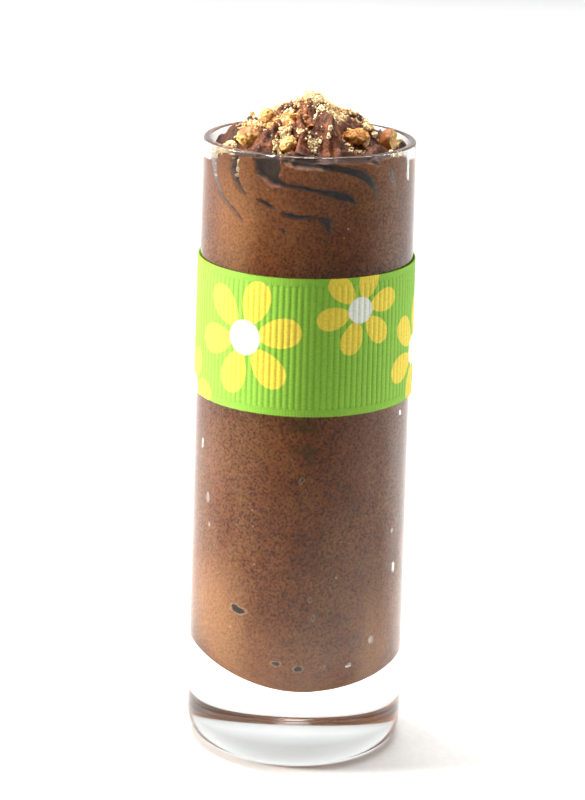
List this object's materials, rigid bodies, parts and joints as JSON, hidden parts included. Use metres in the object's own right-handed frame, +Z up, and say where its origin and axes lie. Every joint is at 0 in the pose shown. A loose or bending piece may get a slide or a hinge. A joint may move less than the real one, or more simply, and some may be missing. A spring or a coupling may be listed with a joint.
{
  "type": "chocolate mousse in a shot glass",
  "caption": "Tall shot glass filled with piped chocolate mousse under chopped nuts, with a printed ribbon lapped round the glass.",
  "frame": {"origin": "centre of the underside of the glass", "axes": "+Z up the glass to the mousse's peak; the front is at -Y and the ribbon's lap is at the back, at +Y"},
  "size_m": [0.0372, 0.0374, 0.1124],
  "materials": {
    "glass": "polished clear soda-lime glass",
    "mousse": "soft satin whipped chocolate with fine air bubbles",
    "nuts": "dry broken nut, cream to toasted gold",
    "ribbon": "ribbed lime green grosgrain with printed yellow daisies"
  },
  "bodies": {
    "root": {"glass": "glass", "mousse": "mousse", "nut_1": "nuts", "nut_2": "nuts", "nut_3": "nuts", "nut_4": "nuts", "nut_5": "nuts", "nut_6": "nuts", "nut_7": "nuts", "ribbon": "ribbon"}
  },
  "joints": []
}
